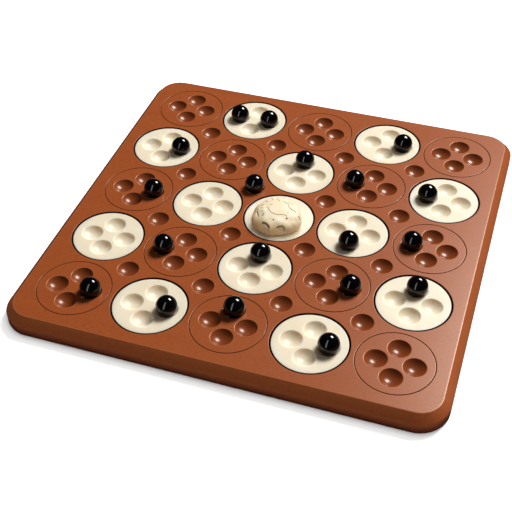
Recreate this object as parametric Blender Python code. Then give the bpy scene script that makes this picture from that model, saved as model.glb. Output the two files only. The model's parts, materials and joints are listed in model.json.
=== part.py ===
"""A square puzzle board with a grid of turning discs, loose balls that rest in its dimples,
and a carved stone on the middle disc.

Metres, +Z up. The origin is the middle of the board's underside. Rows count from the back
and columns from the left. Each disc's origin is on the axis it turns about, and each loose
piece's origin is straight above the place it rests in, so it lifts off along +Z.
"""

import math

import bmesh
import bpy

# Grid
GRID_COUNT = 5
MIDDLE = 3
PITCH = 0.053

# Board
BOARD_SIDE = 0.288
BOARD_THICKNESS = 0.0125
CORNER_RADIUS = 0.020
EDGE_CHAMFER = 0.005
FOOT_CHAMFER = 0.0006
CORNER_STEPS = 6

# Discs and the pockets that they turn in. A brown disc fits closely and lies flush with the
# board; an ivory one fits loosely and lies a little lower.
REST_GAP = 0.0003
POCKET_DEPTH = 0.008
DISC_SIDES = 32
# name: (pocket radius, disc radius, how far the disc's top lies under the board's)
FITS = {"brown": (0.0246, 0.02415, 0.0), "ivory": (0.0250, 0.0240, 0.0004)}

# Dimples, which are caps of a sphere a little larger than a ball
BALL_RADIUS = 0.007
DIMPLE_RADIUS = 0.0073
DIMPLE_DEPTH = 0.0038
DIMPLE_OFFSET = 0.0119
DIMPLE_SIDES = 8
DIMPLE_SPHERE = (DIMPLE_RADIUS**2 + DIMPLE_DEPTH**2) / (2 * DIMPLE_DEPTH)
DIMPLE_MID_RADIUS = 0.74 * DIMPLE_RADIUS
DIMPLE_FLOOR_RADIUS = 0.36 * DIMPLE_RADIUS
BALL_SEGMENTS = 10
BALL_RINGS = 6
BALL_HEIGHT = BALL_RADIUS - DIMPLE_DEPTH + REST_GAP

# Carved stone: its place on the middle disc, and its profile from its foot to its flat crown
# as shares of its radius and of its height
STONE_RADIUS = 0.0172
STONE_HEIGHT = 0.0113
STONE_PLACE = (-0.0003, -0.0025, REST_GAP)
STONE_SIDES = 24
STONE_PROFILE = ((0.86, 0.0), (0.98, 0.14), (1.0, 0.34), (0.92, 0.62), (0.76, 0.86), (0.55, 1.0))
STONE_LOBES = ((3, 0.035, 0.4), (5, 0.022, 1.9), (8, 0.012, 0.9))

CUT_CLEARANCE = 0.001

SIDES = {"left": (-1, 0), "right": (1, 0), "back": (0, 1), "front": (0, -1)}
DISC_BALLS = (
    (1, 2, "left"),
    (1, 2, "right"),
    (1, 4, "right"),
    (2, 1, "right"),
    (2, 3, "back"),
    (2, 4, "left"),
    (2, 5, "left"),
    (3, 1, "right"),
    (3, 4, "front"),
    (3, 5, "left"),
    (4, 2, "left"),
    (4, 3, "back"),
    (4, 4, "right"),
    (4, 5, "back"),
    (5, 1, "right"),
    (5, 2, "right"),
    (5, 3, "back"),
    (5, 4, "right"),
)
BOARD_BALL = (2, 2)

# name: (linear colour, roughness, metallic)
FINISHES = {
    "stained_wood": ((0.341, 0.082, 0.027), 0.42, 0.0),
    "ivory_lacquer": ((0.896, 0.799, 0.597), 0.38, 0.0),
    "black_stone": ((0.006, 0.006, 0.007), 0.08, 0.0),
    "carved_stone": ((0.871, 0.768, 0.571), 0.55, 0.0),
}


def clear_scene():
    """Removes every object, so that the script gives the same result from any file."""
    for old in list(bpy.data.objects):
        bpy.data.objects.remove(old, do_unlink=True)


def make_finish(name):
    """One Principled material from its row in FINISHES."""
    colour, roughness, metallic = FINISHES[name]
    material = bpy.data.materials.new(name)
    material.use_nodes = True
    shader = material.node_tree.nodes["Principled BSDF"]
    shader.inputs["Base Color"].default_value = (*colour, 1.0)
    shader.inputs["Roughness"].default_value = roughness
    shader.inputs["Metallic"].default_value = metallic
    return material


def add_object(name, mesh, finish=None, parent=None, location=(0, 0, 0)):
    """Links a mesh into the scene under its parent, at a place in the parent's frame."""
    piece = bpy.data.objects.new(name, mesh)
    bpy.context.scene.collection.objects.link(piece)
    piece.parent = parent
    piece.location = location
    if finish is not None:
        if not mesh.materials:
            mesh.materials.append(None)
        piece.material_slots[0].link = "OBJECT"
        piece.material_slots[0].material = finish
    return piece


def ring(radius, height, sides, centre=(0, 0)):
    """A circle of points, the first of them half a step round from +X."""
    turns = [2 * math.pi * (k + 0.5) / sides for k in range(sides)]
    return [
        (centre[0] + radius * math.cos(t), centre[1] + radius * math.sin(t), height) for t in turns
    ]


def rounded_square(side, radius, height):
    """The outline of a square with round corners, counter-clockwise seen from above."""
    points = []
    for corner in range(4):
        toward = math.pi / 2 * corner
        sx = 1 if corner in (0, 3) else -1
        sy = 1 if corner in (0, 1) else -1
        cx, cy = sx * (side / 2 - radius), sy * (side / 2 - radius)
        for k in range(CORNER_STEPS + 1):
            turn = toward + math.pi / 2 * k / CORNER_STEPS
            points.append((cx + radius * math.cos(turn), cy + radius * math.sin(turn), height))
    return points


def skin(bm, rings):
    """Joins equal rings, lowest first, with quads, and closes the two ends with flat caps."""
    loops = [[bm.verts.new(point) for point in points] for points in rings]
    count = len(loops[0])
    for low, high in zip(loops, loops[1:]):
        for k in range(count):
            after = (k + 1) % count
            bm.faces.new((low[k], low[after], high[after], high[k]))
    bm.faces.new(loops[0][::-1])
    bm.faces.new(loops[-1])


def finish_mesh(bm, name):
    """Turns a bmesh into a mesh that is smooth over its round parts and sharp at its edges."""
    mesh = bpy.data.meshes.new(name)
    bm.to_mesh(mesh)
    bm.free()
    mesh.shade_smooth()
    mesh.set_sharp_from_angle(angle=math.radians(40))
    return mesh


def add_dimple(bm, x, y, top):
    """A cutter for one dimple: points on its sphere, a flat floor, and a lid above the surface."""
    sink = DIMPLE_SPHERE - DIMPLE_DEPTH
    mid = sink - math.sqrt(DIMPLE_SPHERE**2 - DIMPLE_MID_RADIUS**2)
    levels = (
        (DIMPLE_FLOOR_RADIUS, -DIMPLE_DEPTH),
        (DIMPLE_MID_RADIUS, mid),
        (DIMPLE_RADIUS, 0.0),
        (DIMPLE_RADIUS, CUT_CLEARANCE),
    )
    skin(bm, [ring(radius, top + height, DIMPLE_SIDES, (x, y)) for radius, height in levels])


def add_pocket(bm, x, y, radius):
    """A cutter for one round pocket in the board."""
    levels = (BOARD_THICKNESS - POCKET_DEPTH, BOARD_THICKNESS + CUT_CLEARANCE)
    skin(bm, [ring(radius, height, DISC_SIDES, (x, y)) for height in levels])


def cut(piece, bm, name):
    """Takes the cutter out of the piece. The cutter stays as a hidden wire guide."""
    cutter = add_object(name, finish_mesh(bm, name))
    cutter.hide_render = True
    cutter.display_type = "WIRE"
    boolean = piece.modifiers.new(name, "BOOLEAN")
    boolean.operation = "DIFFERENCE"
    boolean.solver = "EXACT"
    boolean.object = cutter
    return cutter


def place(row, column):
    """The middle of a grid place, where rows and columns may be halves."""
    return (column - MIDDLE) * PITCH, (MIDDLE - row) * PITCH


def finish_at(row, column):
    """Ivory in a chequer pattern and in the middle, and brown elsewhere."""
    light = (row, column) == (MIDDLE, MIDDLE) or (row + column) % 2 == 1
    return "ivory" if light else "brown"


def make_board(finish):
    """The tray: a chamfered square with round corners, a pocket for each disc and a dimple
    where every four discs meet."""
    top_side = BOARD_SIDE - 2 * EDGE_CHAMFER
    foot_side = BOARD_SIDE - 2 * FOOT_CHAMFER
    bm = bmesh.new()
    skin(
        bm,
        [
            rounded_square(foot_side, CORNER_RADIUS - FOOT_CHAMFER, 0.0),
            rounded_square(BOARD_SIDE, CORNER_RADIUS, FOOT_CHAMFER),
            rounded_square(BOARD_SIDE, CORNER_RADIUS, BOARD_THICKNESS - EDGE_CHAMFER),
            rounded_square(top_side, CORNER_RADIUS - EDGE_CHAMFER, BOARD_THICKNESS),
        ],
    )
    board = add_object("board", finish_mesh(bm, "board"), finish)
    cutters = bmesh.new()
    numbers = range(1, GRID_COUNT + 1)
    for row in numbers:
        for column in numbers:
            add_pocket(cutters, *place(row, column), FITS[finish_at(row, column)][0])
    for row in numbers[:-1]:
        for column in numbers[:-1]:
            add_dimple(cutters, *place(row + 0.5, column + 0.5), BOARD_THICKNESS)
    cut(board, cutters, "board_cutter")
    return board


def make_disc_mesh(name, fit, dimpled):
    """A disc whose top is at height 0, with or without its four dimples, as a finished mesh."""
    _, radius, sink = FITS[fit]
    thickness = POCKET_DEPTH - REST_GAP - sink
    bm = bmesh.new()
    skin(bm, [ring(radius, height, DISC_SIDES) for height in (-thickness, 0.0)])
    mesh = finish_mesh(bm, name)
    if not dimpled:
        return mesh
    blank = add_object(name + "_blank", mesh)
    cutters = bmesh.new()
    for x, y in SIDES.values():
        add_dimple(cutters, x * DIMPLE_OFFSET, y * DIMPLE_OFFSET, 0.0)
    cutter = cut(blank, cutters, name + "_cutter")
    ready = blank.evaluated_get(bpy.context.evaluated_depsgraph_get())
    dimpled_mesh = bpy.data.meshes.new_from_object(ready)
    for helper in (blank, cutter):
        bpy.data.objects.remove(helper, do_unlink=True)
    return dimpled_mesh


def make_discs(board, brown, ivory):
    """One disc for each pocket, and the one in the middle is plain."""
    finishes = {"brown": brown, "ivory": ivory}
    dimpled = {name: make_disc_mesh(name + "_disc", name, True) for name in FITS}
    plain = make_disc_mesh("plain_disc", "ivory", False)
    discs = {}
    for row in range(1, GRID_COUNT + 1):
        for column in range(1, GRID_COUNT + 1):
            name = finish_at(row, column)
            discs[row, column] = add_object(
                f"disc_r{row}c{column}",
                plain if (row, column) == (MIDDLE, MIDDLE) else dimpled[name],
                finishes[name],
                board,
                (*place(row, column), BOARD_THICKNESS - FITS[name][2]),
            )
    return discs


def make_balls(board, discs, black):
    """The balls: each rests in a dimple of its disc, and one in a dimple of the board."""
    bm = bmesh.new()
    bmesh.ops.create_uvsphere(
        bm, u_segments=BALL_SEGMENTS, v_segments=BALL_RINGS, radius=BALL_RADIUS
    )
    mesh = finish_mesh(bm, "ball")
    for row, column, side in DISC_BALLS:
        x, y = SIDES[side]
        spot = (x * DIMPLE_OFFSET, y * DIMPLE_OFFSET, BALL_HEIGHT)
        add_object(f"ball_r{row}c{column}_{side}", mesh, black, discs[row, column], spot)
    row, column = BOARD_BALL
    spot = (*place(row + 0.5, column + 0.5), BOARD_THICKNESS + BALL_HEIGHT)
    add_object(f"ball_board_r{row}c{column}", mesh, black, board, spot)


def stone_ring(share, height):
    """One level of the stone: a circle whose radius swells in a few shallow lobes."""
    points = []
    for k in range(STONE_SIDES):
        turn = 2 * math.pi * k / STONE_SIDES
        swell = sum(size * math.cos(lobes * turn + start) for lobes, size, start in STONE_LOBES)
        radius = STONE_RADIUS * share * (1 + swell)
        points.append((radius * math.cos(turn), radius * math.sin(turn), height))
    return points


def make_stone(disc, finish):
    """The low carved stone that stands on the middle disc."""
    bm = bmesh.new()
    skin(bm, [stone_ring(share, STONE_HEIGHT * level) for share, level in STONE_PROFILE])
    add_object("centre_stone", finish_mesh(bm, "centre_stone"), finish, disc, STONE_PLACE)


def main():
    clear_scene()
    finishes = {name: make_finish(name) for name in FINISHES}
    board = make_board(finishes["stained_wood"])
    discs = make_discs(board, finishes["stained_wood"], finishes["ivory_lacquer"])
    make_balls(board, discs, finishes["black_stone"])
    make_stone(discs[MIDDLE, MIDDLE], finishes["carved_stone"])


main()
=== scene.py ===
import json
import math

import bmesh
import bpy
import numpy as np
from bpy.props import FloatProperty, FloatVectorProperty, PointerProperty
from mathutils import Euler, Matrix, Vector

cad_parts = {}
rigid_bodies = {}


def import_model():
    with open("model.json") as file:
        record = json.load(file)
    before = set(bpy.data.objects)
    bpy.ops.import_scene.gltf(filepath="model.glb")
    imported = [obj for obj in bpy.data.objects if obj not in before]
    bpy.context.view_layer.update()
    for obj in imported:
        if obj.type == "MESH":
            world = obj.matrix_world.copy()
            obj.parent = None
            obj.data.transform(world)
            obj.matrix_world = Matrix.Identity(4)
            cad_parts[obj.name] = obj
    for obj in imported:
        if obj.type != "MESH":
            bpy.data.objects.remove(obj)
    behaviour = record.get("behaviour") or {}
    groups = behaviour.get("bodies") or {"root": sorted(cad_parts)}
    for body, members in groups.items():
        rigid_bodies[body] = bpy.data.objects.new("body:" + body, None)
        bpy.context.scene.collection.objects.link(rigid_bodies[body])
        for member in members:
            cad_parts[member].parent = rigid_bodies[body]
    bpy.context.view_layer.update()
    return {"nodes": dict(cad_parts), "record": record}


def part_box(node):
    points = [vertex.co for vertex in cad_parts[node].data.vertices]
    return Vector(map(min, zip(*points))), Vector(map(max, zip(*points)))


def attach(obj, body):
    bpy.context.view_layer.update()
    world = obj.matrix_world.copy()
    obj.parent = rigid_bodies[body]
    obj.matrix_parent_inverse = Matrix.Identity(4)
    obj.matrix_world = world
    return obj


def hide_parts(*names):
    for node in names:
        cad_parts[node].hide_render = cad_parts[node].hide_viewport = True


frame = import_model()
SLOTS = {row["node"]: row["material_slot"] for row in frame["record"]["subparts"]}

# A square puzzle board: a stained tray, discs that turn in its pockets, loose polished balls
# and a carved stone. Every place comes from the frame; the sizes below are the finer ones.

bl_info = {
    "name": "Puzzle board with turning discs",
    "version": (1, 0, 0),
    "blender": (4, 5, 0),
    "location": "View3D > Sidebar > Puzzle board",
    "description": "Makes a square puzzle board with turning discs, balls and a carved stone",
    "category": "Add Mesh",
}

MM = 0.001
WELD = 0.002 * MM
GRID = range(1, 6)
MIDDLE = (3, 3)
QUARTER = math.pi / 2
FLOOR_GAP = 0.3 * MM
# Kept for each point. The first mark is 1 on arrises and rims, whose colour it lightens, partly
# as wear and partly as painted highlight; on the stone it is 1 in the narrow carving, which it
# darkens as painted shade. deep is 1 where little light gets in and darkens the colour as
# painted shade: in the dimples, down the pocket and disc walls and the tray's side, and on the
# stone low down its side, most on the side away from the light.
MARKS = ("worn", "deep")
# Pieces that have a softbox and a card of their own
STONE_PIECES = ("carved_stone", "turned_disc_r3c3")

# How finely the surfaces are divided. A ring of each flat lies close beside its rounded edge,
# so that the flat is shaded as flat.
SIDE_STEPS = 24
CORNER_STEPS = 6
ARRIS_STEPS = 5
MOUTH_STEPS = 4
TRAY_FOOT_STEPS = 4
DISC_FOOT_STEPS = 3
BOWL_STEPS = 12
DIMPLE_COLUMNS = 96
BALL_COLUMNS = 72
STONE_COLUMNS = 360
STONE_ROWS = 150

# How much painted shade, on the deep scale of MARKS, a dimple's lowest point and the top of
# the tray's side get
BOWL_DEEP = 0.5
SIDE_DEEP = 0.45


def linear(code):
    """An sRGB hex colour as the linear values that shaders take."""
    shares = [int(code[k : k + 2], 16) / 255 for k in (0, 2, 4)]
    return tuple(s / 12.92 if s <= 0.04045 else ((s + 0.055) / 1.055) ** 2.4 for s in shares)


def length(name, size, about):
    """A size property in metres, given in millimetres."""
    return FloatProperty(name=name, description=about, default=size * MM, min=0.0, unit="LENGTH")


def angle(name, degrees, about):
    """An angle property, given in degrees."""
    turn = math.radians(degrees)
    return FloatProperty(name=name, description=about, default=turn, subtype="ANGLE")


def number(name, value, about):
    """A plain number property."""
    return FloatProperty(name=name, description=about, default=value, min=0.0)


def colour(name, code, about):
    """A colour property, given as sRGB hex."""
    return FloatVectorProperty(
        name=name, description=about, default=linear(code), size=3, min=0, max=1, subtype="COLOR"
    )


class BoardSizes(bpy.types.PropertyGroup):
    """Sizes of the tray that the discs sit in."""

    corner_radius: length("Corner radius", 20, "Radius of the outline's corners at its widest")
    chamfer: length("Chamfer", 5, "Width and height of the slope round the top")
    top_arris: length("Top arris", 0.7, "Rounding between the top and the slope")
    side_arris: length("Side arris", 1, "Rounding between the slope and the side")
    foot_arris: length("Foot arris", 0.6, "Rounding between the side and the underside")
    close_pocket: length("Close pocket", 24.6, "Radius of a brown disc's pocket")
    loose_pocket: length("Loose pocket", 25.1, "Radius of an ivory disc's pocket")
    pocket_depth: length("Pocket depth", 8, "Depth of each disc's pocket")
    pocket_arris: length("Pocket arris", 0.3, "Rounding of each pocket's mouth")


class DiscSizes(bpy.types.PropertyGroup):
    """Sizes of the turning discs and of the dimples in them and in the tray."""

    brown_radius: length("Brown radius", 24.34, "A brown disc's radius")
    ivory_radius: length("Ivory radius", 24, "An ivory disc's radius")
    edge: length("Edge rounding", 0.3, "Rounding of a disc's top edge")
    foot: length("Foot rounding", 0.4, "Rounding of a disc's lower edge")
    dimple_offset: length("Dimple offset", 11.9, "From a disc's middle to a dimple's middle")
    dimple_radius: length("Dimple radius", 7.3, "Radius of a dimple where its sphere meets the top")
    dimple_depth: length("Dimple depth", 3.8, "Depth of a dimple's sphere below the top")
    dimple_arris: length("Dimple arris", 0.55, "Rounding of a dimple's rim")


class StoneSizes(bpy.types.PropertyGroup):
    """Sizes of the stone and its carving."""

    radius: length("Radius", 17.2, "Mean radius at its widest")
    widest: number("Widest", 0.30, "Height of its widest ring, as a share of its own height")
    tuck: number("Tuck", 0.14, "How far its foot is set in, as a share of its radius")
    squareness: number("Squareness", 0.80, "Exponent of its upper curve; under 1 is flatter")
    lumps: length("Lumps", 0.3, "Height of the soft lumps round its side")
    lean: length("Lean", 1.4, "How far its side stands in front of its crown")


class Finishes(bpy.types.PropertyGroup):
    """Colours of the materials."""

    beech_ground: colour("Beech", "a45328", "Stained beech between its flecks")
    beech_streak: colour("Beech streaks", "9c4d24", "Bands that took more stain")
    beech_fleck: colour("Beech flecks", "88421c", "Rays and pores that took more stain")
    # Lighter arrises and rims: partly stain rubbed away, partly painted highlight
    beech_edge_wear_and_highlight: colour("Worn beech", "c07a50", "Arrises where the stain is thinner")
    # Painted shade in the dimples, down the pocket and disc walls and down the tray's side
    beech_painted_shade: colour("Deep beech", "461403", "Hollows and walls where the stain gathers")
    ivory_ground: colour("Ivory", "f6e8cf", "Ivory lacquer on the light discs")
    ivory_cloud: colour("Ivory cloud", "f1e1c4", "Where the lacquer lies thicker")
    # Lighter edges and rims: partly lacquer rubbed smoother, partly painted highlight
    ivory_edge_wear_and_highlight: colour("Ivory edges", "fffaf0", "Where the lacquer is rubbed smooth")
    # Painted shade: the walls and the lower half of the rounded edge, dark as the gap round each
    # disc
    ivory_wall_painted_shade: colour("Ivory walls", "5a2814", "The discs' walls, which show bare stained wood")
    obsidian: colour("Obsidian", "060608", "Polished black balls")
    stone_ground: colour("Stone", "f8eacb", "The carved stone's skin")
    stone_grain: colour("Stone grain", "efdcb4", "Darker grain in the stone")
    # Painted shade: the side is browner and darker towards its foot, most on the side away from the
    # light
    stone_side_painted_shade: colour("Stone side", "e2b87e", "Its side, which is browner than its crown")
    # Painted shade in the carved lines and pits, fuller the deeper they are cut
    stone_groove_painted_shade: colour("Stone groove", "8a6a3c", "Dust in the carved lines and pits")
    floor: colour("Floor", "fbfbfa", "The table under the board")


class StageSizes(bpy.types.PropertyGroup):
    """The camera, the lights and the floor."""

    azimuth: angle("Azimuth", 19.08, "Camera's turn to the right of the front")
    elevation: angle("Elevation", 43.04, "Camera's height over the board")
    roll: angle("Roll", -1.08, "Camera's turn about its own line of sight")
    distance: length("Distance", 660.3, "From the camera to the point that it looks at")
    left_of_middle: length("Left of middle", 2.79, "Point looked at, left of the middle")
    front_of_middle: length("Front of middle", 42.22, "Point looked at, in front of the middle")
    lens: number("Lens", 69.43, "Focal length in millimetres on a 36 mm sensor")
    key_azimuth: angle("Key azimuth", 158, "Softbox's turn to the right of the front")
    key_elevation: angle("Key elevation", 46.5, "Softbox's height over the board")
    key_distance: length("Key distance", 3000, "Softbox's distance")
    key_width: length("Key width", 1050, "Softbox's width")
    key_height: length("Key height", 850, "Softbox's other side")
    key_power: number("Key", 118, "Softbox's power in watts")
    wide_size: length("Wide key", 3200, "Side of the softbox for the stone and its disc")
    wide_power: number("Wide key power", 152, "Power in watts of the stone's softbox")
    card_azimuth: angle("Card azimuth", 18, "Turn of the card that lights the stone's front")
    card_elevation: angle("Card elevation", 25, "Card's height over the board")
    card_size: length("Card", 400, "Card's side")
    card_power: number("Card power", 1.6, "Card's power in watts")
    strip_azimuth: angle("Strip azimuth", -9, "Turn of the narrow light, for the balls only")
    strip_elevation: angle("Strip elevation", 38, "Narrow light's height over the board")
    strip_distance: length("Strip distance", 900, "Distance of the narrow light and of the card")
    strip_width: length("Strip width", 200, "Narrow light's width")
    strip_height: length("Strip height", 1300, "Narrow light's length")
    strip_power: number("Strip", 3.2, "Narrow light's power in watts")
    room: number("Room", 0.12, "Strength of the light from all round")
    floor: length("Floor", 4000, "Side of the floor")
    floor_power: number("Floor power", 90, "Power in watts of the light over the floor alone")


# ---------------------------------------------------------------- surfaces


def arc(middle, radius, start, end, steps):
    """Points on an arc: middle plus radius times the cosine and sine of evenly spaced turns."""
    turns = np.linspace(start, end, steps + 1)
    return np.stack([middle[0] + radius * np.cos(turns), middle[1] + radius * np.sin(turns)], 1)


def lathe(profile, turns, middle=(0.0, 0.0)):
    """A surface of revolution. The point at turn t of profile row (r, z) is
    middle + (r cos t, r sin t), at height z."""
    radius, height = profile[:, :1], profile[:, 1:]
    x = middle[0] + radius * np.cos(turns)
    y = middle[1] + radius * np.sin(turns)
    return np.stack([x, y, np.broadcast_to(height, x.shape)], axis=-1)


def flat_ring(points, height):
    """Plane points as one ring of a grid, at one height."""
    return np.column_stack([points, np.full(len(points), height)])[None]


def turned(points, quarters):
    """Points turned about Z by a number of quarter turns."""
    turn = quarters * QUARTER
    c, s = math.cos(turn), math.sin(turn)
    result = points.copy()
    result[..., 0] = c * points[..., 0] - s * points[..., 1]
    result[..., 1] = s * points[..., 0] + c * points[..., 1]
    return result


def quads(rows, columns, first):
    """Corner numbers of the quads between the successive closed rings of a grid."""
    row, column = np.divmod(np.arange((rows - 1) * columns), columns)
    after = (column + 1) % columns
    low, high = first + row * columns, first + (row + 1) * columns
    return np.stack([low + column, low + after, high + after, high + column], axis=1)


def spread(value, shape):
    """One value, or one for each row or each point, as a value for each point."""
    value = np.asarray(value, float)
    return np.broadcast_to(value if value.ndim > 1 else value.reshape(-1, 1), shape).ravel()


def make_piece(name, patches, material):
    """One closed mesh from patches. Each patch is a grid of points, closed round its columns,
    and its values for the attributes in MARKS, from 0 to 1.
    Points that patches share are welded, and a ring at one point becomes a closed pole."""
    points, faces, marks, first = [], [], [], 0
    for grid, *values in patches:
        rows, columns = grid.shape[:2]
        points.append(grid.reshape(-1, 3))
        faces.append(quads(rows, columns, first))
        marks.append([spread(value, (rows, columns)) for value in values])
        first += rows * columns
    mesh = bpy.data.meshes.new(name)
    mesh.from_pydata(np.concatenate(points).tolist(), [], np.concatenate(faces).tolist())
    for mark, values in zip(MARKS, np.concatenate(marks, axis=1)):
        layer = mesh.attributes.new(mark, "FLOAT", "POINT")
        layer.data.foreach_set("value", values.astype(np.float32))
    bm = bmesh.new()
    bm.from_mesh(mesh)
    bmesh.ops.remove_doubles(bm, verts=bm.verts, dist=WELD)
    bmesh.ops.recalc_face_normals(bm, faces=bm.faces)
    bm.to_mesh(mesh)
    bm.free()
    mesh.shade_smooth()
    mesh.materials.append(material)
    piece = bpy.data.objects.new(name, mesh)
    bpy.context.scene.collection.objects.link(piece)
    return piece


def settle(piece, node):
    """The piece stands for a CAD node, whose part it hides, and moves with the body of that name.
    """
    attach(piece, node)
    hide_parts(node)


def middle_of(node):
    """The middle of a CAD node's box, and the height of its top."""
    low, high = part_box(node)
    return np.array([(low.x + high.x) / 2, (low.y + high.y) / 2]), high.z


def radius_of(node):
    """Half a CAD node's height, which is a ball's radius."""
    low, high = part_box(node)
    return (high.z - low.z) / 2


def dimple_profile(sizes, top):
    """Radius and height from the flat top to a dimple's lowest point. The dimple is part of a
    sphere of radius (a^2 + d^2) / 2d, with a the rim radius and d the depth. The rim's arc
    touches the flat top and the sphere: its middle lies the arc's radius under the top, and
    the sum of both radii away from the sphere's middle. The bowl's deep value, painted shade
    that darkens it, grows with the square root of the share of its depth. The rim's arc is
    lightened, partly as wear and partly as painted highlight."""
    rim, depth, arris = sizes.dimple_radius, sizes.dimple_depth, sizes.dimple_arris
    sphere = (rim**2 + depth**2) / (2 * depth)
    rise = sphere - depth
    reach = math.sqrt((sphere + arris) ** 2 - (rise + arris) ** 2)
    lean = math.atan2(reach, rise + arris)
    edge = arc((reach, -arris), arris, QUARTER, QUARTER + lean, ARRIS_STEPS)
    bowl = arc((0.0, rise), sphere, -QUARTER + lean, -QUARTER, BOWL_STEPS)
    start = [[reach + arris / 3, 0.0]]
    profile = np.concatenate([start, edge, bowl[1:]])
    deep = BOWL_DEEP * np.sqrt(-profile[:, 1] / depth)
    profile[:, 1] += top
    profile[-1, 0] = 0.0
    worn = np.zeros(len(profile))
    # The rim's arc is lightened: partly wear, partly painted highlight
    worn[1:7] = (0.5, 1.0, 1.0, 0.9, 0.6, 0.2)
    return profile, worn, deep


# ---------------------------------------------------------------- the tray


def cell_side(half, hole):
    """Places along one side of a grid cell: fine steps near its corners, even ones between."""
    near = np.linspace(-half, hole - half, CORNER_STEPS + 1)
    between = np.linspace(hole - half, half - hole, SIDE_STEPS + 1)
    return np.concatenate([near[:-1], between[:-1], -near[:0:-1]])


def cell_outline(half, hole, dimpled):
    """A square cell's outline about its middle. A corner that a dimple takes is cut back to
    an arc of radius hole about the corner; the others stay square. dimpled holds a true or
    false value for each corner, counter-clockwise from +X +Y."""
    along = cell_side(half, hole)
    over = np.clip(np.abs(along) - (half - hole), 0, None) / hole
    sides = []
    for k in range(4):
        across = np.full_like(along, half)
        place = along.copy()
        for corner, sign in ((k, 1), ((k - 1) % 4, -1)):
            if dimpled[corner]:
                cut = (np.sign(along) == sign) & (over > 0)
                turn = -QUARTER - over[cut] * QUARTER / 2
                across[cut] = half + hole * np.cos(turn)
                place[cut] = sign * (half + hole * np.sin(turn))
        sides.append(turned(np.stack([across, place], axis=1), k))
    return np.concatenate(sides)


def pocket_patch(middle, outline, radius, top, sizes):
    """From a cell's outline, over the flat top, round the mouth's arc and down the wall, to
    the pocket's floor. Each column keeps its turn about the pocket's middle."""
    arris, depth = sizes.pocket_arris, sizes.pocket_depth
    mouth = arc((radius + arris, -arris), arris, QUARTER, 2 * QUARTER, MOUTH_STEPS)
    start = [[radius + 1.6 * arris, 0.0]]
    wall = [[radius, -3 * arris], [radius, -depth], [0.0, -depth]]
    profile = np.concatenate([start, mouth, wall])
    profile[:, 1] += top
    turns = np.arctan2(outline[:, 1], outline[:, 0])
    flat = flat_ring(outline + middle, top)
    # The mouth's arc is lightened, partly as wear and partly as painted highlight, and the wall and
    # floor get painted shade
    worn = [0, 0, 0.2, 0.5, 0.4, 0, 0, 0, 0, 0]
    deep = [0, 0, 0, 0.1, 0.4, 0.8, 1, 1, 1, 1]
    return np.concatenate([flat, lathe(profile, turns, middle)]), worn, deep


def rim_profile(sizes, height):
    """Inset from the widest outline, and height, down the outside of the tray: the top's arris,
    the slope, the side's arris, the side, the foot's arris and the underside. An arris on a 45
    degree corner begins its radius times tan 22.5 degrees from the corner. The top's arris is
    lightened, partly as wear and partly as painted highlight. The side's deep value, painted
    shade that darkens the side towards its foot, grows from SIDE_DEEP at its top to 1 at its
    foot, as the drop to the power 1.5."""
    slope, top, side, foot = sizes.chamfer, sizes.top_arris, sizes.side_arris, sizes.foot_arris
    share = math.tan(QUARTER / 4)
    upper = arc((-slope - top * share, height - top), top, QUARTER, QUARTER / 2, ARRIS_STEPS)
    middle = arc((-side, height - slope - side * share), side, QUARTER / 2, 0, ARRIS_STEPS)
    lower = arc((-foot, foot), foot, 0, -QUARTER, TRAY_FOOT_STEPS)
    inner, under = [[upper[0, 0] - top, height]], [[lower[-1, 0] - foot, 0.0]]
    path = np.concatenate([inner, upper, middle, lower, under])
    worn = np.zeros(len(path))
    worn[1:7] = (0.3, 0.8, 1.0, 1.0, 0.8, 0.3)
    drop = np.clip(1 - path[:, 1] / (height - slope), 0, 1)
    return path, worn, SIDE_DEEP * (drop > 0) + (1 - SIDE_DEEP) * drop**1.5


def rim_patch(block, hole, middle, half, top, sizes):
    """The frame round the block of cells, and the tray's outside. A column's point is
    core + normal * (corner radius + inset), where core runs round the square of the corner
    arcs' middles, so the profile is carried along the whole outline."""
    core_half = half - sizes.corner_radius
    along = block[:, 1]
    over = np.clip(np.abs(along) - core_half, 0, None) / hole * np.sign(along)
    turn = over * QUARTER / 2
    core = np.stack([np.full_like(along, core_half), np.clip(along, -core_half, core_half)], 1)
    normal = np.stack([np.cos(turn), np.sin(turn)], 1)
    path, worn, deep = rim_profile(sizes, top)
    inner, rings = [], []
    for k in range(4):
        inner.append(turned(block, k))
        reach = sizes.corner_radius + path[:, 0]
        ring = core[None] + normal[None] * reach[:, None, None]
        rings.append(turned(ring, k))
    rings = np.concatenate(rings, axis=1) + middle
    heights = np.broadcast_to(path[:, 1, None, None], (*rings.shape[:2], 1))
    outside = np.concatenate([rings, heights], axis=-1)
    flat = flat_ring(np.concatenate(inner) + middle, top)
    pole = np.zeros_like(flat)
    pole[..., :2] = middle
    marks = [np.pad(values, 1, mode="edge") for values in (worn, deep)]
    return np.concatenate([flat, outside, pole]), *marks


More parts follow.
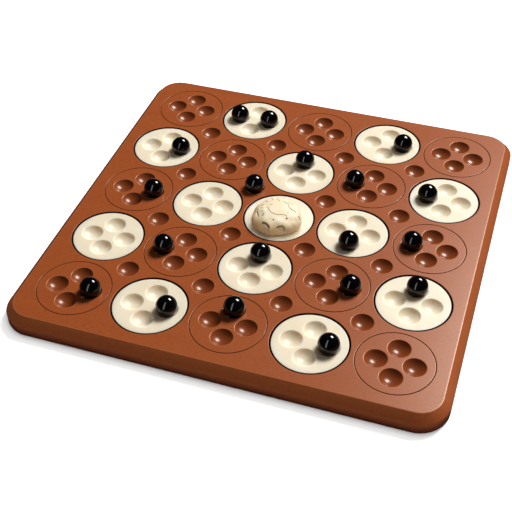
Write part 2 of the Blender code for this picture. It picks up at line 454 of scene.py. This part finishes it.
class PUZZLE_OT_board(bpy.types.Operator):
    """Make the stained tray with its pockets and dimples"""

    bl_idname = "puzzle_board.board"
    bl_label = "Make tray"

    def execute(self, context):
        sizes, discs = context.scene.puzzle_board, context.scene.puzzle_discs
        middle, top = middle_of("board")
        half = (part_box("board")[1].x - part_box("board")[0].x) / 2
        pitch = middle_of("disc_r3c4")[0][0] - middle_of("disc_r3c3")[0][0]
        cell = pitch / 2
        hole = len(GRID) * cell - (half - sizes.corner_radius)
        pockets = {"stained_wood": sizes.close_pocket, "ivory_lacquer": sizes.loose_pocket}
        patches = []
        for row in GRID:
            for column in GRID:
                node = f"disc_r{row}c{column}"
                place, _ = middle_of(node)
                inner = [
                    row > GRID[0] and column < GRID[-1],
                    row > GRID[0] and column > GRID[0],
                    row < GRID[-1] and column > GRID[0],
                    row < GRID[-1] and column < GRID[-1],
                ]
                outline = cell_outline(cell, hole, inner)
                patches.append(pocket_patch(place, outline, pockets[SLOTS[node]], top, sizes))
                if inner[3]:
                    corner = place + np.array([cell, -cell])
                    patches.append(self.dimple(corner, hole, top, discs))
        offsets = np.concatenate([cell_side(cell, hole) + pitch * k for k in range(-2, 3)])
        block = np.stack([np.full_like(offsets, len(GRID) * cell), offsets], axis=1)
        patches.append(rim_patch(block, hole, middle, half, top, sizes))
        piece = make_piece("tray", patches, stained_beech())
        settle(piece, "board")
        return {"FINISHED"}

    def dimple(self, middle, hole, top, discs):
        """A dimple in the tray, out to the circle where its four cells begin."""
        profile, *marks = dimple_profile(discs, top)
        profile = np.concatenate([[[hole, top]], profile])
        turns = np.arange(8 * CORNER_STEPS) * math.pi / (4 * CORNER_STEPS)
        return lathe(profile, turns, middle), *(np.pad(values, (1, 0)) for values in marks)


# ---------------------------------------------------------------- the discs


def sector_outline(offset, reach, columns):
    """The quarter of a disc's top that belongs to one dimple, as seen from the dimple's
    middle. Along each turn it is the nearer of the quarter's two straight sides and the
    circle of radius reach about the disc's middle. The turns are even between its corners,
    and the columns on the circle are given first."""
    corner = math.atan2(reach / math.sqrt(2), reach / math.sqrt(2) - offset)
    on_arc = 5 * columns // 12
    outer = np.linspace(-corner, corner, on_arc + 1)
    sides = np.linspace(corner, 2 * math.pi - corner, columns - on_arc + 1)
    turns = np.concatenate([outer, sides[1:-1]])
    c, s = np.cos(turns), np.sin(turns)
    far = -offset * c + np.sqrt((offset * c) ** 2 - offset**2 + reach**2)
    lean = np.abs(s) - c
    near = np.where(lean > 1e-9, offset / np.maximum(lean, 1e-9), np.inf)
    away = np.minimum(far, near)
    edge = np.stack([offset + away * c, away * s], axis=1)
    return edge, turns, on_arc


def disc_edge_profile(radius, top, foot, sizes):
    """Radius and height round a disc's outside: its top edge's arc, its wall, its lower
    edge's arc and its underside."""
    upper = arc((radius - sizes.edge, top - sizes.edge), sizes.edge, QUARTER, 0, ARRIS_STEPS)
    wall = [[radius, top - 3 * sizes.edge]]
    lower = arc((radius - sizes.foot, foot + sizes.foot), sizes.foot, 0, -QUARTER, DISC_FOOT_STEPS)
    end = [[radius - 2 * sizes.foot, foot], [0.0, foot]]
    profile = np.concatenate([upper, wall, lower, end])
    # The top edge's arc is lightened a little, partly as wear and partly as painted highlight. The
    # deep values paint shade on the lower half of that arc, the wall and the underside.
    worn = np.zeros(len(profile))
    worn[:6] = (0.2, 0.3, 0.1, 0, 0, 0)
    deep = np.ones(len(profile))
    deep[:6] = (0, 0.35, 0.7, 0.9, 1, 1)
    return profile, worn, deep


def disc_patches(middle, radius, top, foot, sizes, dimpled):
    """A disc's outside and its top, which is four dimples, each in its quarter."""
    inset = radius - 1.5 * sizes.edge
    edge, turns, on_arc = sector_outline(sizes.dimple_offset, inset, DIMPLE_COLUMNS)
    quarter = np.arctan2(edge[:on_arc, 1], edge[:on_arc, 0])
    round_turns = np.concatenate([quarter + k * QUARTER for k in range(4)])
    profile, *marks = disc_edge_profile(radius, top, foot, sizes)
    profile = np.concatenate([[[inset, top]], profile])
    outside = lathe(profile, round_turns, middle)
    patches = [(outside, *(np.pad(values, (1, 0)) for values in marks))]
    if not dimpled:
        cap = np.array([[inset, top], [inset / 2, top], [0.0, top]])
        return patches + [(lathe(cap, round_turns, middle), 0, 0)]
    bowl, *bowl_marks = dimple_profile(sizes, top)
    rings = lathe(bowl, turns, (sizes.dimple_offset, 0.0))
    grid = np.concatenate([flat_ring(edge, top), rings])
    for k in range(4):
        sector = turned(grid, k)
        sector[..., :2] += middle
        patches.append((sector, *(np.pad(values, (1, 0)) for values in bowl_marks)))
    return patches


class PUZZLE_OT_discs(bpy.types.Operator):
    """Make the turning discs with their dimples"""

    bl_idname = "puzzle_board.discs"
    bl_label = "Make discs"

    def execute(self, context):
        sizes = context.scene.puzzle_discs
        materials = {
            "stained_wood": bpy.data.materials["stained_beech"],
            "ivory_lacquer": ivory_lacquer(),
        }
        radii = {"stained_wood": sizes.brown_radius, "ivory_lacquer": sizes.ivory_radius}
        for row in GRID:
            for column in GRID:
                node = f"disc_r{row}c{column}"
                slot, dimpled = SLOTS[node], (row, column) != MIDDLE
                middle, top = middle_of(node)
                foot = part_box(node)[0].z
                patches = disc_patches(middle, radii[slot], top, foot, sizes, dimpled)
                piece = make_piece("turned_" + node, patches, materials[slot])
                settle(piece, node)
        return {"FINISHED"}


# ---------------------------------------------------------------- the balls


class PUZZLE_OT_balls(bpy.types.Operator):
    """Make the polished balls"""

    bl_idname = "puzzle_board.balls"
    bl_label = "Make balls"

    def execute(self, context):
        material = polished_obsidian()
        turns = np.arange(BALL_COLUMNS) * 2 * math.pi / BALL_COLUMNS
        for node in sorted(frame["nodes"]):
            if node.startswith("ball_"):
                middle, top = middle_of(node)
                radius = radius_of(node)
                profile = arc((0.0, top - radius), radius, QUARTER, -QUARTER, BALL_COLUMNS // 2)
                profile[[0, -1], 0] = 0.0
                grid = lathe(profile, turns, middle)
                piece = make_piece("polished_" + node, [(grid, 0, 0)], material)
                settle(piece, node)
        return {"FINISHED"}


# ---------------------------------------------------------------- the stone

# Every place on the stone is a turn in degrees about its middle and a share of the way from
# its crown's middle to its foot.
# Waves round its outline: how many, their share of the radius, and where they start
LOBES = ((3, 0.035, 0.4), (5, 0.022, 1.9), (8, 0.012, 0.9))
# The way its side leans, the turn in radians where the painted shade on its side is darkest,
# which faces away from the light, and the carving's depth at which the painted shade in its
# grooves is full
LEAN_WAY = np.array([-0.3, -0.95])
SHADY_TURN = 3.7
GROOVE_SHADE_DEPTH = 0.45 * MM
# Thumb-sized hollows, pits, and knobs where the depth is below 0: turn, way, radius, depth in mm
DENTS = (
    (256, 0.70, 3.3, 1.00),
    (297, 0.73, 2.4, 0.75),
    (333, 0.66, 1.8, -0.30),
    (351, 0.55, 1.7, -0.25),
    (185, 0.42, 1.6, -0.35),
    (206, 0.39, 1.6, -0.30),
    (196, 0.62, 2.4, 0.35),
    (272, 0.45, 0.55, 0.80),
    (320, 0.45, 0.60, 0.90),
    (342, 0.31, 0.35, 0.40),
    (46, 0.70, 3.3, 1.00),
    (87, 0.73, 2.4, 0.75),
    (106, 0.70, 3.3, 1.00),
    (147, 0.73, 2.4, 0.75),
    (62, 0.46, 0.55, 0.80),
    (104, 0.48, 0.55, 0.80),
    (150, 0.46, 0.50, 0.70),
)
# A crescent over a hollow, the line at its end and a smaller curl beside them: half width and
# depth in mm, then the stroke's places. The set is carved again at each of SPINS.
MOTIF = (
    (0.55, 1.10, ((245, 0.62), (249, 0.59), (257, 0.59), (264, 0.62), (267, 0.66))),
    (0.34, 0.35, ((267, 0.66), (268, 0.72), (269, 0.82))),
    (0.42, 0.60, ((287, 0.67), (291, 0.65), (296, 0.64), (302, 0.64), (305, 0.69), (306, 0.75))),
)
SPINS = (0, 150, 210)
# Single strokes: the ring round its crown, cracks and slits
STROKES = (
    (
        0.30,
        0.32,
        (
            (190, 0.29),
            (216, 0.26),
            (242, 0.26),
            (263, 0.26),
            (281, 0.29),
            (301, 0.30),
            (319, 0.32),
            (324, 0.39),
        ),
    ),
    (0.30, 0.30, ((80, 0.32), (65, 0.32), (49, 0.34), (30, 0.30), (16, 0.34))),
    (0.32, 0.45, ((16, 0.34), (9, 0.39), (10, 0.45), (9, 0.52))),
    (0.28, 0.25, ((44, 0.43), (50, 0.45), (53, 0.52))),
    (0.40, 0.60, ((178, 0.51), (174, 0.49), (172, 0.45))),
    (0.42, 0.75, ((201, 0.56), (210, 0.55), (219, 0.56))),
    (0.42, 0.70, ((224, 0.43), (226, 0.45), (227, 0.48))),
    (0.38, 0.60, ((357, 0.58), (359, 0.65), (355, 0.70))),
    (0.35, 0.35, ((127, 0.51), (127, 0.38))),
    (0.30, 0.30, ((100, 0.30), (112, 0.42), (108, 0.58))),
    (0.30, 0.22, ((164, 0.30), (158, 0.21))),
)


def stone_profile(height, sizes, rows):
    """Radius and height from the crown's middle to the foot's middle. The upper part is a
    quarter of a superellipse, r = R sin^e t and z = w + (H - w) cos^e t, whose exponent
    under 1 gives a flat crown; the lower part tucks in under the widest ring."""
    radius, widest, tuck = sizes.radius, sizes.widest * height, sizes.tuck * sizes.radius
    t = np.linspace(0, QUARTER, rows)
    level = np.clip(np.cos(t), 0, 1) ** sizes.squareness
    reach = radius * np.sin(t) ** sizes.squareness
    upper = np.stack([reach, widest + (height - widest) * level], 1)
    u = np.linspace(0, QUARTER, rows // 4)[1:]
    lower = np.stack([radius - tuck * (1 - np.cos(u)), widest * (1 - np.sin(u))], 1)
    under = [[0.6 * radius, 0.0], [0.0, 0.0]]
    return np.concatenate([upper, lower, under])


def ease(value, low, high):
    """0 below low, 1 above high, and 3s^2 - 2s^3 between them."""
    share = np.clip((value - low) / (high - low), 0, 1)
    return share * share * (3 - 2 * share)


def near_path(points, path):
    """How far each point is from a path of straight stretches."""
    best = np.full(points.shape[:-1], np.inf)
    for start, end in zip(path[:-1], path[1:]):
        run = end - start
        share = np.clip(((points - start) @ run) / (run @ run), 0, 1)
        best = np.minimum(best, np.linalg.norm(points - start - share[..., None] * run, axis=-1))
    return best


def stone_carving(points, way):
    """How deep the surface is cut, and how much of that is narrow carving. A dent is
    e^-(d/r)^4 deep at distance d from its middle, and a stroke e^-(d/w)^2 from its path."""
    broad, narrow = np.zeros(points.shape[:2]), np.zeros(points.shape[:2])

    def spot(turn, share):
        row = int(np.argmin(np.abs(way - share)))
        return points[row, int(round(turn / 360 * STONE_COLUMNS)) % STONE_COLUMNS]

    for turn, share, radius, depth in DENTS:
        distance = np.linalg.norm(points - spot(turn, share), axis=-1)
        dent = depth * MM * np.exp(-((distance / (radius * MM)) ** 4))
        if radius < 1:
            narrow = np.maximum(narrow, dent)
        else:
            broad += dent
    spun = [
        (width, depth, [(turn + spin, share) for turn, share in path])
        for spin in SPINS
        for width, depth, path in MOTIF
    ]
    for width, depth, path in [*STROKES, *spun]:
        distance = near_path(points, np.array([spot(*place) for place in path]))
        narrow = np.maximum(narrow, depth * MM * np.exp(-((distance / (width * MM)) ** 2)))
    return broad, narrow


def stone_lumps(turns, way):
    """Soft lumps in its side, from -2 to 2. At turn t and way w they are
    cos(3t + 1) sin 9w + cos(7t + 2) sin(14w + 1), and they fade out at the crown and the foot."""
    way = way[:, None]
    few = np.cos(3 * turns + 1) * np.sin(9 * way)
    many = np.cos(7 * turns + 2) * np.sin(14 * way + 1)
    return (few + many) * ease(way, 0.30, 0.55) * ease(way, 0.98, 0.85)


def stone_surface(height, sizes):
    """The stone about its foot's middle: a turned profile whose radius swells in lobes and
    whose side leans to the front, cut along its normals by the carving. Returns the grid, how
    much painted shade the narrow carving gives each point, and how much painted shade its side
    gets there, which is most at SHADY_TURN."""
    profile = stone_profile(height, sizes, STONE_ROWS)
    turns = np.arange(STONE_COLUMNS) * 2 * math.pi / STONE_COLUMNS
    points = lathe(profile, turns)
    swell = sum(size * np.cos(count * turns + start) for count, size, start in LOBES)
    points[..., :2] *= (1 + swell)[None, :, None]
    step = np.linalg.norm(np.diff(profile, axis=0), axis=1)
    # The last two steps run under the stone, so the way is 1 where its side ends
    way = np.concatenate([[0], np.cumsum(step)]) / step[:-2].sum()
    points[..., :2] += ease(way, 0.3, 0.8)[:, None, None] * sizes.lean * LEAN_WAY
    down = np.gradient(points, axis=0)
    down /= np.maximum(np.linalg.norm(down, axis=-1, keepdims=True), 1e-12)
    across = np.stack([-np.sin(turns), np.cos(turns), np.zeros_like(turns)], axis=-1)
    normal = np.cross(down, np.broadcast_to(across, points.shape))
    broad, narrow = stone_carving(points, way)
    above_foot = ease(way, 0.98, 0.90)[:, None]
    raised = sizes.lumps * stone_lumps(turns, way) - (broad + narrow) * above_foot
    # Painted shade down the side, most at SHADY_TURN, the side away from the light
    shade = ease(way, 0.44, 0.75)[:, None] * (0.7 + 0.3 * np.cos(turns - SHADY_TURN))
    # The narrow carving's painted shade, full from a set depth of cut
    return points + normal * raised[..., None], np.clip(narrow / GROOVE_SHADE_DEPTH, 0, 1), shade


class PUZZLE_OT_stone(bpy.types.Operator):
    """Make the carved stone on the middle disc"""

    bl_idname = "puzzle_board.stone"
    bl_label = "Make stone"

    def execute(self, context):
        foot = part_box("centre_stone")[0].z
        middle, top = middle_of("centre_stone")
        grid, *marks = stone_surface(top - foot, context.scene.puzzle_stone)
        grid += np.array([*middle, foot])
        piece = make_piece("carved_stone", [(grid, *marks)], carved_limestone())
        settle(piece, "centre_stone")
        return {"FINISHED"}


# ---------------------------------------------------------------- materials


def add(tree, kind, settings=None, links=None):
    """Adds one node. A setting is a value of the node's own or, failing that, of the socket
    with that name or number. A link gives a socket the output of another node."""
    node = tree.nodes.new(kind)
    for key, value in (settings or {}).items():
        if isinstance(key, str) and hasattr(node, key):
            setattr(node, key, value)
        else:
            node.inputs[key].default_value = value
    for key, (source, output) in (links or {}).items():
        tree.links.new(source.outputs[output], node.inputs[key])
    return node


def per_size(*sizes):
    """Noise scales along X, Y and Z that give features of these sizes in millimetres."""
    return tuple(1 / (size * MM) for size in sizes)


def new_material(name):
    """An empty material, its tree, and the output that gives the object's own coordinates."""
    material = bpy.data.materials.new(name)
    material.use_nodes = True
    material.node_tree.nodes.clear()
    return material, material.node_tree, (add(material.node_tree, "ShaderNodeTexCoord"), "Object")


def close_material(material, settings, links):
    """Adds the shader and its output."""
    tree = material.node_tree
    shader = add(tree, "ShaderNodeBsdfPrincipled", settings, links)
    add(tree, "ShaderNodeOutputMaterial", links={"Surface": (shader, "BSDF")})
    return material


def stained_beech():
    """Beech, sanded, stained red-brown and lacquered satin. Its rays and pores took more of
    the stain, which gives small darker flecks along the grain. The arrises and rims are
    lightened, partly as stain rubbed away and partly as painted highlight. The dimples, the
    pocket and disc walls and the tray's side are darkened as painted shade. The flecks are
    drawn 0.5 mm wide, twice as wide as real ones, to show."""
    finish = bpy.context.scene.puzzle_finishes
    material, tree, place = new_material("stained_beech")
    boards = add(tree, "ShaderNodeMapping", {"Scale": per_size(160, 14, 14)}, {"Vector": place})
    bands = add(tree, "ShaderNodeTexNoise", {"Scale": 1, "Detail": 4}, {"Vector": (boards, 0)})
    along = add(tree, "ShaderNodeMapping", {"Scale": per_size(2.9, 0.5, 0.5)}, {"Vector": place})
    flecks = add(tree, "ShaderNodeTexNoise", {"Scale": 1, "Detail": 2}, {"Vector": (along, 0)})
    streak = add(
        tree,
        "ShaderNodeMapRange",
        {"From Min": 0.35, "From Max": 0.65, "To Max": 0.6},
        {"Value": (bands, 0)},
    )
    fleck = add(
        tree,
        "ShaderNodeMapRange",
        {"From Min": 0.48, "From Max": 0.72, "To Max": 0.9},
        {"Value": (flecks, 0)},
    )
    streaked = add(
        tree,
        "ShaderNodeMix",
        {"data_type": "RGBA", 6: (*finish.beech_ground, 1), 7: (*finish.beech_streak, 1)},
        {0: (streak, 0)},
    )
    flecked = add(
        tree,
        "ShaderNodeMix",
        {"data_type": "RGBA", 7: (*finish.beech_fleck, 1)},
        {0: (fleck, 0), 6: (streaked, 2)},
    )
    # Arrises lightened: partly stain rubbed away, partly painted highlight
    worn = add(tree, "ShaderNodeAttribute", {"attribute_name": "worn"})
    edge_lightening = add(tree, "ShaderNodeMapRange", {"To Max": 0.5}, {"Value": (worn, "Fac")})
    rubbed = add(
        tree,
        "ShaderNodeMix",
        {"data_type": "RGBA", 7: (*finish.beech_edge_wear_and_highlight, 1)},
        {0: (edge_lightening, 0), 6: (flecked, 2)},
    )
    # Painted shade in the dimples, down the walls and down the side
    deep = add(tree, "ShaderNodeAttribute", {"attribute_name": "deep"})
    colour_out = add(
        tree,
        "ShaderNodeMix",
        {"data_type": "RGBA", 7: (*finish.beech_painted_shade, 1)},
        {0: (deep, "Fac"), 6: (rubbed, 2)},
    )
    gloss = add(
        tree, "ShaderNodeMapRange", {"To Min": 0.25, "To Max": 0.34}, {"Value": (flecks, 0)}
    )
    bump = add(
        tree,
        "ShaderNodeBump",
        {"Strength": 0.35, "Distance": 0.05 * MM},
        {"Height": (flecks, 0)},
    )
    return close_material(
        material,
        {"IOR": 1.5, "Specular Tint": (1.0, 0.82, 0.66, 1)},
        {"Base Color": (colour_out, 2), "Roughness": (gloss, 0), "Normal": (bump, 0)},
    )


def ivory_lacquer():
    """Turned wood sprayed with ivory lacquer, satin. The spray lies a little unevenly, which
    clouds its colour and leaves a faint orange peel 1.2 mm across. The edges and rims are
    lightened, partly as lacquer rubbed smoother and partly as painted highlight. Light sinks
    into the thick lacquer, which softens and warms its shadows. The walls below the edge and
    the lower half of the rounded edge are painted dark brown as painted shade, for the gap
    round each disc."""
    finish = bpy.context.scene.puzzle_finishes
    material, tree, place = new_material("ivory_lacquer")
    clouds = add(
        tree, "ShaderNodeTexNoise", {"Scale": per_size(18)[0], "Detail": 3}, {"Vector": place}
    )
    peel = add(
        tree, "ShaderNodeTexNoise", {"Scale": per_size(1.2)[0], "Detail": 1}, {"Vector": place}
    )
    thick = add(
        tree,
        "ShaderNodeMapRange",
        {"From Min": 0.35, "From Max": 0.65},
        {"Value": (clouds, 0)},
    )
    clouded = add(
        tree,
        "ShaderNodeMix",
        {"data_type": "RGBA", 6: (*finish.ivory_ground, 1), 7: (*finish.ivory_cloud, 1)},
        {0: (thick, 0)},
    )
    # Edges and rims lightened: partly lacquer rubbed smoother, partly painted highlight
    worn = add(tree, "ShaderNodeAttribute", {"attribute_name": "worn"})
    edge_lightening = add(tree, "ShaderNodeMapRange", {"To Max": 0.5}, {"Value": (worn, "Fac")})
    rubbed = add(
        tree,
        "ShaderNodeMix",
        {"data_type": "RGBA", 7: (*finish.ivory_edge_wear_and_highlight, 1)},
        {0: (edge_lightening, 0), 6: (clouded, 2)},
    )
    # Painted shade: the walls and the lower half of the rounded edge turn dark brown
    deep = add(tree, "ShaderNodeAttribute", {"attribute_name": "deep"})
    wall = add(tree, "ShaderNodeMapRange", {"From Min": 0.55}, {"Value": (deep, "Fac")})
    colour_out = add(
        tree,
        "ShaderNodeMix",
        {"data_type": "RGBA", 7: (*finish.ivory_wall_painted_shade, 1)},
        {0: (wall, 0), 6: (rubbed, 2)},
    )
    gloss = add(
        tree, "ShaderNodeMapRange", {"To Min": 0.34, "To Max": 0.46}, {"Value": (clouds, 0)}
    )
    bump = add(
        tree,
        "ShaderNodeBump",
        {"Strength": 0.3, "Distance": 0.03 * MM},
        {"Height": (peel, 0)},
    )
    settings = {
        "IOR": 1.5,
        "Subsurface Weight": 0.8,
        "Subsurface Radius": (1.0, 0.82, 0.62),
        "Subsurface Scale": 4.5 * MM,
    }
    return close_material(
        material,
        settings,
        {"Base Color": (colour_out, 2), "Roughness": (gloss, 0), "Normal": (bump, 0)},
    )


def polished_obsidian():
    """Obsidian tumbled to a mirror polish. It is black with a hard, bright highlight, and
    handling leaves faint smears 4 mm across that soften the reflection in places."""
    finish = bpy.context.scene.puzzle_finishes
    material, tree, place = new_material("polished_obsidian")
    smears = add(
        tree, "ShaderNodeTexNoise", {"Scale": per_size(4)[0], "Detail": 2}, {"Vector": place}
    )
    gloss = add(
        tree, "ShaderNodeMapRange", {"To Min": 0.06, "To Max": 0.13}, {"Value": (smears, 0)}
    )
    return close_material(
        material,
        {"Base Color": (*finish.obsidian, 1), "IOR": 1.4},
        {"Roughness": (gloss, 0)},
    )


def carved_limestone():
    """Fine cream limestone, carved and rubbed smooth by hand. It is matt with a grain of
    0.6 mm and softer clouds. Its side is browner and darker towards its foot and most on the
    side away from the light, as painted shade, and its carved lines and pits are darkened as
    painted shade."""
    finish = bpy.context.scene.puzzle_finishes
    material, tree, place = new_material("carved_limestone")
    clouds = add(
        tree, "ShaderNodeTexNoise", {"Scale": per_size(7)[0], "Detail": 4}, {"Vector": place}
    )
    grain = add(
        tree, "ShaderNodeTexNoise", {"Scale": per_size(0.6)[0], "Detail": 2}, {"Vector": place}
    )
    mottle = add(
        tree,
        "ShaderNodeMapRange",
        {"From Min": 0.35, "From Max": 0.65},
        {"Value": (clouds, 0)},
    )
    mottled = add(
        tree,
        "ShaderNodeMix",
        {"data_type": "RGBA", 6: (*finish.stone_ground, 1), 7: (*finish.stone_grain, 1)},
        {0: (mottle, 0)},
    )
    # Painted shade down the side
    deep = add(tree, "ShaderNodeAttribute", {"attribute_name": "deep"})
    lower = add(tree, "ShaderNodeMapRange", {"To Max": 0.9}, {"Value": (deep, "Fac")})
    shaded = add(
        tree,
        "ShaderNodeMix",
        {"data_type": "RGBA", 7: (*finish.stone_side_painted_shade, 1)},
        {0: (lower, 0), 6: (mottled, 2)},
    )
    # Painted shade in the carved lines and pits
    carved = add(tree, "ShaderNodeAttribute", {"attribute_name": "worn"})
    groove_shade = add(tree, "ShaderNodeMapRange", {"To Max": 0.9}, {"Value": (carved, "Fac")})
    colour_out = add(
        tree,
        "ShaderNodeMix",
        {"data_type": "RGBA", 7: (*finish.stone_groove_painted_shade, 1)},
        {0: (groove_shade, 0), 6: (shaded, 2)},
    )
    bump = add(
        tree,
        "ShaderNodeBump",
        {"Strength": 0.4, "Distance": 0.08 * MM},
        {"Height": (grain, 0)},
    )
    return close_material(
        material,
        {"IOR": 1.5, "Roughness": 0.5},
        {"Base Color": (colour_out, 2), "Normal": (bump, 0)},
    )


def matt_card():
    """White card, matt all over. It shows soft shadows and almost no reflection, and its
    fibres lie a little unevenly, in clouds 30 mm across."""
    finish = bpy.context.scene.puzzle_finishes
    material, tree, place = new_material("matt_card")
    fibres = add(
        tree, "ShaderNodeTexNoise", {"Scale": per_size(30)[0], "Detail": 3}, {"Vector": place}
    )
    gloss = add(
        tree, "ShaderNodeMapRange", {"To Min": 0.75, "To Max": 0.85}, {"Value": (fibres, 0)}
    )
    settings = {"Base Color": (*finish.floor, 1), "IOR": 1.3}
    return close_material(material, settings, {"Roughness": (gloss, 0)})


# ---------------------------------------------------------------- the stage


def toward(azimuth, elevation):
    """The direction of a viewer or a light: azimuth turns from the front to the right."""
    level = math.cos(elevation)
    x, y = math.sin(azimuth) * level, -math.cos(azimuth) * level
    return Vector((x, y, math.sin(elevation)))


def softbox(name, direction, distance, aim, size, power):
    """A rectangular light at a distance in a direction from the point that it faces."""
    light = bpy.data.lights.new(name, "AREA")
    light.shape = "RECTANGLE"
    light.size, light.size_y = size
    light.energy = power
    lamp = bpy.data.objects.new(name, light)
    lamp.location = aim + direction * distance
    lamp.rotation_euler = direction.to_track_quat("Z", "Y").to_euler()
    bpy.context.scene.collection.objects.link(lamp)
    return lamp


def light_only(lamp, starts, state):
    """With INCLUDE the lamp lights only the pieces whose names start so, and with EXCLUDE it
    lights only the others."""
    pieces = bpy.data.collections.new(lamp.name)
    for piece in bpy.data.objects:
        if piece.name.startswith(starts):
            pieces.objects.link(piece)
    for entry in pieces.collection_objects:
        entry.light_linking.link_state = state
    lamp.light_linking.receiver_collection = pieces


class PUZZLE_OT_stage(bpy.types.Operator):
    """Make the floor, the lights and the camera"""

    bl_idname = "puzzle_board.stage"
    bl_label = "Make stage"

    def execute(self, context):
        sizes = context.scene.puzzle_stage
        middle, top = middle_of("board")
        aim = Vector((middle[0], middle[1], top))
        self.floor(sizes)
        self.lamps(sizes, aim)
        self.room(context.scene, sizes)
        self.camera(context.scene, sizes, aim)
        context.scene.view_settings.view_transform = "Standard"
        return {"FINISHED"}

    def lamps(self, sizes, aim):
        """A softbox behind the board for all but the stone's pieces, which have a wider one and
        a card in front. A strip is there for the balls, and a light from above for the floor."""
        key = toward(sizes.key_azimuth, sizes.key_elevation)
        key_size = (sizes.key_width, sizes.key_height)
        lamp = softbox("key", key, sizes.key_distance, aim, key_size, sizes.key_power)
        light_only(lamp, STONE_PIECES, "EXCLUDE")
        wide_size = (sizes.wide_size, sizes.wide_size)
        lamp = softbox("wide key", key, sizes.key_distance, aim, wide_size, sizes.wide_power)
        light_only(lamp, STONE_PIECES, "INCLUDE")
        card = toward(sizes.card_azimuth, sizes.card_elevation)
        card_size = (sizes.card_size, sizes.card_size)
        lamp = softbox("card", card, sizes.strip_distance, aim, card_size, sizes.card_power)
        light_only(lamp, STONE_PIECES, "INCLUDE")
        strip = toward(sizes.strip_azimuth, sizes.strip_elevation)
        strip_size = (sizes.strip_width, sizes.strip_height)
        lamp = softbox("strip", strip, sizes.strip_distance, aim, strip_size, sizes.strip_power)
        light_only(lamp, ("polished_",), "INCLUDE")
        above = Vector((0, 0, 1))
        above_size = (sizes.key_distance, sizes.key_distance)
        lamp = softbox("above", above, sizes.key_distance, aim, above_size, sizes.floor_power)
        light_only(lamp, ("floor",), "INCLUDE")

    def room(self, scene, sizes):
        """Even white light from all round, which the pieces don't mirror."""
        world = bpy.data.worlds.new("room")
        world.use_nodes = True
        world.node_tree.nodes.clear()
        settings = {"Color": (1, 1, 1, 1), "Strength": sizes.room}
        white = add(world.node_tree, "ShaderNodeBackground", settings)
        add(world.node_tree, "ShaderNodeOutputWorld", links={"Surface": (white, 0)})
        scene.world = world
        world.cycles_visibility.glossy = False

    def floor(self, sizes):
        """A plain square just under the board, which the pieces don't mirror."""
        half = sizes.floor / 2
        corners = [(-half, -half), (half, -half), (half, half), (-half, half)]
        mesh = bpy.data.meshes.new("floor")
        mesh.from_pydata([(x, y, -FLOOR_GAP) for x, y in corners], [], [(0, 1, 2, 3)])
        mesh.materials.append(matt_card())
        floor = bpy.data.objects.new("floor", mesh)
        floor.visible_glossy = False
        bpy.context.scene.collection.objects.link(floor)

    def camera(self, scene, sizes, aim):
        """The camera looks at a point of the board's top from the viewer's side."""
        lens = bpy.data.cameras.new("camera")
        lens.lens = sizes.lens
        camera = bpy.data.objects.new("camera", lens)
        turn = Euler((QUARTER - sizes.elevation, 0, sizes.azimuth)).to_matrix()
        roll = Euler((0, 0, sizes.roll)).to_matrix()
        camera.rotation_euler = (turn @ roll).to_euler()
        target = aim - Vector((sizes.left_of_middle, sizes.front_of_middle, 0))
        camera.location = target + toward(sizes.azimuth, sizes.elevation) * sizes.distance
        scene.collection.objects.link(camera)
        scene.camera = camera


# ---------------------------------------------------------------- the add-on

GROUPS = {
    "puzzle_board": BoardSizes,
    "puzzle_discs": DiscSizes,
    "puzzle_stone": StoneSizes,
    "puzzle_finishes": Finishes,
    "puzzle_stage": StageSizes,
}
STEPS = (
    PUZZLE_OT_board,
    PUZZLE_OT_discs,
    PUZZLE_OT_balls,
    PUZZLE_OT_stone,
    PUZZLE_OT_stage,
)


class PUZZLE_PT_panel(bpy.types.Panel):
    """The steps in their order, and the sizes and colours that they use"""

    bl_idname = "PUZZLE_PT_panel"
    bl_label = "Puzzle board"
    bl_space_type = "VIEW_3D"
    bl_region_type = "UI"
    bl_category = "Puzzle board"

    def draw(self, context):
        for step in STEPS:
            self.layout.operator(step.bl_idname)
        for name, group in GROUPS.items():
            box = self.layout.box()
            for prop in group.__annotations__:
                box.prop(getattr(context.scene, name), prop)


def register():
    for name, group in GROUPS.items():
        bpy.utils.register_class(group)
        setattr(bpy.types.Scene, name, PointerProperty(type=group))
    for kind in (*STEPS, PUZZLE_PT_panel):
        bpy.utils.register_class(kind)


def unregister():
    for kind in (PUZZLE_PT_panel, *reversed(STEPS)):
        bpy.utils.unregister_class(kind)
    for name, group in GROUPS.items():
        delattr(bpy.types.Scene, name)
        bpy.utils.unregister_class(group)


def main():
    register()
    for step in STEPS:
        getattr(bpy.ops.puzzle_board, step.bl_idname.split(".")[1])()


if __name__ == "__main__":
    main()
